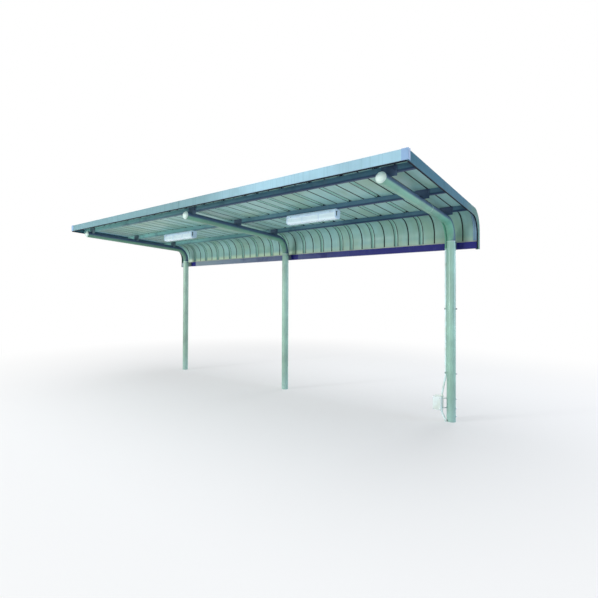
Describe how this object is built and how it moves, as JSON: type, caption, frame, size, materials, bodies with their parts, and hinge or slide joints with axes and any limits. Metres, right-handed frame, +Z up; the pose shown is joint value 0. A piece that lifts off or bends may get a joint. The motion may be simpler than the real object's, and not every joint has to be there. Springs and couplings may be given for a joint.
{
  "type": "cantilever bicycle shelter",
  "caption": "Open bicycle shelter: tube posts with bent cantilever arms carry a ribbed metal roof that curves down at the back, with strip lamps and an electrical box.",
  "frame": {"origin": "centre of the middle post's foot, on the ground", "axes": "+X along the shelter to its right end, -Y to its open front, +Z up"},
  "size_m": [5.5446, 2.2421, 2.5771],
  "materials": {
    "frame_paint": "satin grey-green paint",
    "channel_paint": "satin slate paint",
    "roof_sheet": "gloss grey-green coating",
    "trim_paint": "satin pale blue-grey paint",
    "corner_paint": "satin pale blue-grey paint",
    "cap_plastic": "smooth",
    "lamp_body": "white enamel",
    "lamp_cover": "milky, ribbed",
    "box_plastic": "moulded",
    "band_steel": "zinc-plated",
    "conduit_plastic": "smooth, rigid"
  },
  "bodies": {
    "root": {"arm_caps": "cap_plastic", "arm_left": "frame_paint", "arm_middle": "frame_paint", "arm_right": "frame_paint", "box_lid": "box_plastic", "conduits": "conduit_plastic", "corner_caps": "corner_paint", "electrical_box": "box_plastic", "front_fascia": "trim_paint", "lamp_cover_left": "lamp_cover", "lamp_cover_right": "lamp_cover", "lamp_tray_left": "lamp_body", "lamp_tray_right": "lamp_body", "post_left": "frame_paint", "post_middle": "frame_paint", "post_right": "frame_paint", "purlin_cleats": "channel_paint", "purlin_front": "channel_paint", "purlin_middle": "channel_paint", "purlin_rear": "channel_paint", "rail_brackets": "channel_paint", "rear_rail": "channel_paint", "roof_sheet_01": "roof_sheet", "roof_sheet_02": "roof_sheet", "roof_sheet_03": "roof_sheet", "roof_sheet_04": "roof_sheet", "roof_sheet_05": "roof_sheet", "roof_sheet_06": "roof_sheet", "roof_sheet_07": "roof_sheet", "roof_sheet_08": "roof_sheet", "roof_sheet_09": "roof_sheet", "roof_sheet_10": "roof_sheet", "roof_sheet_11": "roof_sheet", "roof_sheet_12": "roof_sheet", "roof_sheet_13": "roof_sheet", "roof_sheet_14": "roof_sheet", "roof_sheet_15": "roof_sheet", "roof_sheet_16": "roof_sheet", "roof_sheet_17": "roof_sheet", "straps": "band_steel", "verge_trim_left": "trim_paint", "verge_trim_right": "trim_paint"}
  },
  "joints": []
}
